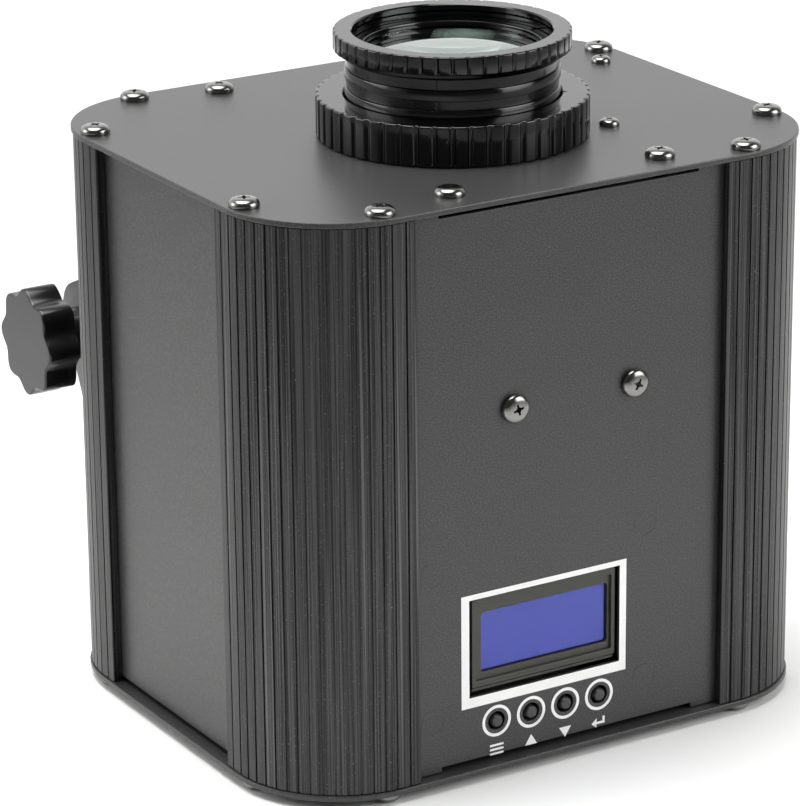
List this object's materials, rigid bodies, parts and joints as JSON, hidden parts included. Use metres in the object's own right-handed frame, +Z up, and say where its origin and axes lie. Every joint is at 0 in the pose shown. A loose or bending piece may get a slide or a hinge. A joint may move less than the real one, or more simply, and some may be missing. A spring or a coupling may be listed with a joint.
{
  "type": "color changer spotlight",
  "caption": "Box-shaped stage spotlight with ribbed corner profiles, a focusing lens tube on top, a display with buttons, and a clamp-on yoke held by star knobs.",
  "frame": {"origin": "on the floor, at the middle of the area that the whole light covers from above", "axes": "+Z up along the light's beam, -Y the way the display faces, +X to the display's right"},
  "size_m": [0.17, 0.1998, 0.1866],
  "materials": {
    "powder_coat": "fine-textured satin black powder coat",
    "black_aluminium": "satin black anodised extrusion",
    "bright_zinc": "bright zinc plate",
    "moulded_black": "glossy moulded black",
    "socket_black": "matt black",
    "plain_aluminium": "mill finish",
    "lens_glass": "polished, coated",
    "circuit_board": "green solder mask",
    "white_led_board": "white solder mask",
    "bright_reflector": "mirror bright",
    "olive_bezel": "dull dark olive",
    "blue_screen": "blue display glass",
    "black_nylon": "dull black nylon"
  },
  "bodies": {
    "housing": {"board_bracket": "plain_aluminium", "bottom_plate": "powder_coat", "bracket_screw_1": "bright_zinc", "bracket_screw_2": "bright_zinc", "control_board": "circuit_board", "corner_profile_front_left": "black_aluminium", "corner_profile_front_right": "black_aluminium", "corner_profile_rear_left": "black_aluminium", "corner_profile_rear_right": "black_aluminium", "data_inlet": "socket_black", "data_outlet": "socket_black", "display_bezel": "olive_bezel", "display_board": "circuit_board", "display_screen": "blue_screen", "fan_frame": "moulded_black", "front_panel": "powder_coat", "front_screw_1": "bright_zinc", "front_screw_2": "bright_zinc", "heat_sink": "plain_aluminium", "hinge_bracket": "powder_coat", "led_board": "white_led_board", "left_panel": "powder_coat", "left_washer": "black_nylon", "lens_sleeve": "moulded_black", "light_bridge": "plain_aluminium", "power_board": "circuit_board", "power_inlet": "socket_black", "power_outlet": "socket_black", "rear_panel": "powder_coat", "reflector": "bright_reflector", "right_panel": "powder_coat", "right_washer": "black_nylon", "sleeve_nut": "moulded_black", "top_plate": "powder_coat", "top_screw_1": "bright_zinc", "top_screw_10": "bright_zinc", "top_screw_11": "bright_zinc", "top_screw_12": "bright_zinc", "top_screw_2": "bright_zinc", "top_screw_3": "bright_zinc", "top_screw_4": "bright_zinc", "top_screw_5": "bright_zinc", "top_screw_6": "bright_zinc", "top_screw_7": "bright_zinc", "top_screw_8": "bright_zinc", "top_screw_9": "bright_zinc"},
    "focus_collar": {"focus_collar": "moulded_black"},
    "lens_tube": {"lens_barrel": "moulded_black", "front_ring": "moulded_black", "retaining_ring": "moulded_black", "lens": "lens_glass"},
    "fan": {"fan_rotor": "moulded_black"},
    "mode_button": {"mode_button": "moulded_black"},
    "up_button": {"up_button": "moulded_black"},
    "down_button": {"down_button": "moulded_black"},
    "enter_button": {"enter_button": "moulded_black"},
    "data_latch": {"data_latch": "bright_zinc"},
    "yoke": {"yoke": "powder_coat"},
    "left_knob": {"left_knob": "moulded_black"},
    "right_knob": {"right_knob": "moulded_black"}
  },
  "joints": [
    {"name": "focus_turn", "type": "hinge", "parent": "housing", "child": "focus_collar", "pos_m": [0, -0.03993, 0.1584], "axis": [0, 0, 1], "range_deg": [-170, 95]},
    {"name": "lens_slide", "type": "slide", "parent": "housing", "child": "lens_tube", "axis": [0, 0, 1], "range_m": [-0.0099, 0.0056]},
    {"name": "fan_spin", "type": "hinge", "parent": "housing", "child": "fan", "pos_m": [0, -0.03993, 0.0184], "axis": [0, 0, 1], "continuous": true},
    {"name": "yoke_tilt", "type": "hinge", "parent": "housing", "child": "yoke", "pos_m": [0, 0.08006, 0.0784], "axis": [1, 0, 0], "range_deg": [0, 229]},
    {"name": "left_knob_turn", "type": "hinge", "parent": "housing", "child": "left_knob", "pos_m": [-0.0648, 0.08006, 0.0784], "axis": [1, 0, 0], "continuous": true},
    {"name": "right_knob_turn", "type": "hinge", "parent": "housing", "child": "right_knob", "pos_m": [0.0648, 0.08006, 0.0784], "axis": [1, 0, 0], "continuous": true},
    {"name": "data_latch_press", "type": "slide", "parent": "housing", "child": "data_latch", "axis": [0, 0, 1], "range_m": [0, 0.0012], "stiffness_N_per_m": 600},
    {"name": "mode_button_press", "type": "slide", "parent": "housing", "child": "mode_button", "axis": [0, 1, 0], "range_m": [0, 0.0005], "stiffness_N_per_m": 400},
    {"name": "up_button_press", "type": "slide", "parent": "housing", "child": "up_button", "axis": [0, 1, 0], "range_m": [0, 0.0005], "stiffness_N_per_m": 400},
    {"name": "down_button_press", "type": "slide", "parent": "housing", "child": "down_button", "axis": [0, 1, 0], "range_m": [0, 0.0005], "stiffness_N_per_m": 400},
    {"name": "enter_button_press", "type": "slide", "parent": "housing", "child": "enter_button", "axis": [0, 1, 0], "range_m": [0, 0.0005], "stiffness_N_per_m": 400}
  ],
  "couplings": [
    {"joint": "lens_slide", "follows": "focus_turn", "m_per_rad": 0.0033}
  ]
}
